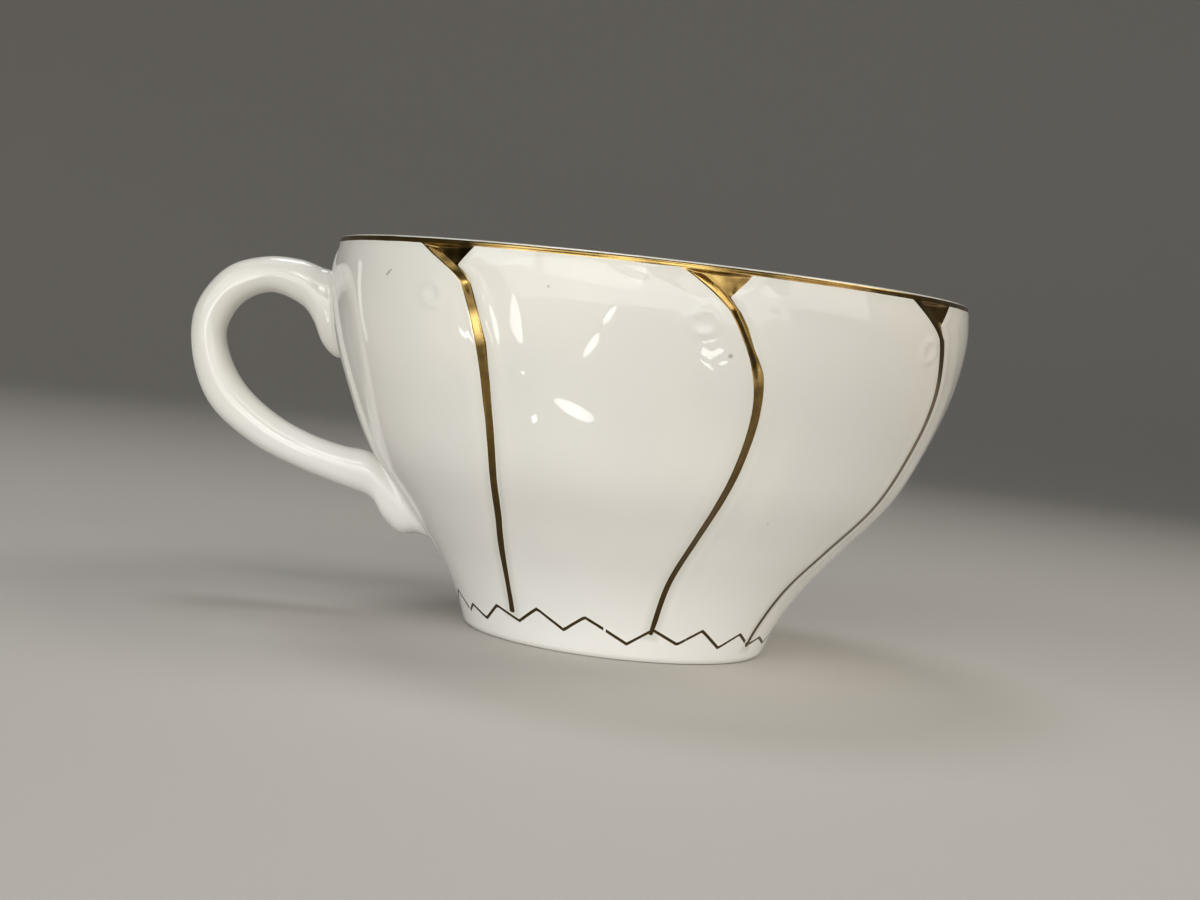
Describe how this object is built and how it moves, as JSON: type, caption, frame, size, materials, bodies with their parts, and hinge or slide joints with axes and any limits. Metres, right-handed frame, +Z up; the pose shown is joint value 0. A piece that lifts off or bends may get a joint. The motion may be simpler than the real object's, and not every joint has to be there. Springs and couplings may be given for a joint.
{
  "type": "tea cup",
  "caption": "Flared porcelain tea cup with overlapping petals, gilt lines along the petals and the rim, a gilt zigzag above the foot and a looped handle.",
  "frame": {"origin": "on the plane that the foot stands on, under the middle of the length from the outside of the handle to the far side of the rim", "axes": "+Z up along the axis of the bowl, -X towards the handle, -Y the side that the picture shows"},
  "size_m": [0.1188, 0.0972, 0.0562],
  "materials": {
    "porcelain": "clear glaze over warm white porcelain, with burnished gilt lines painted on it"
  },
  "bodies": {
    "root": {"cup": "porcelain"}
  },
  "joints": []
}
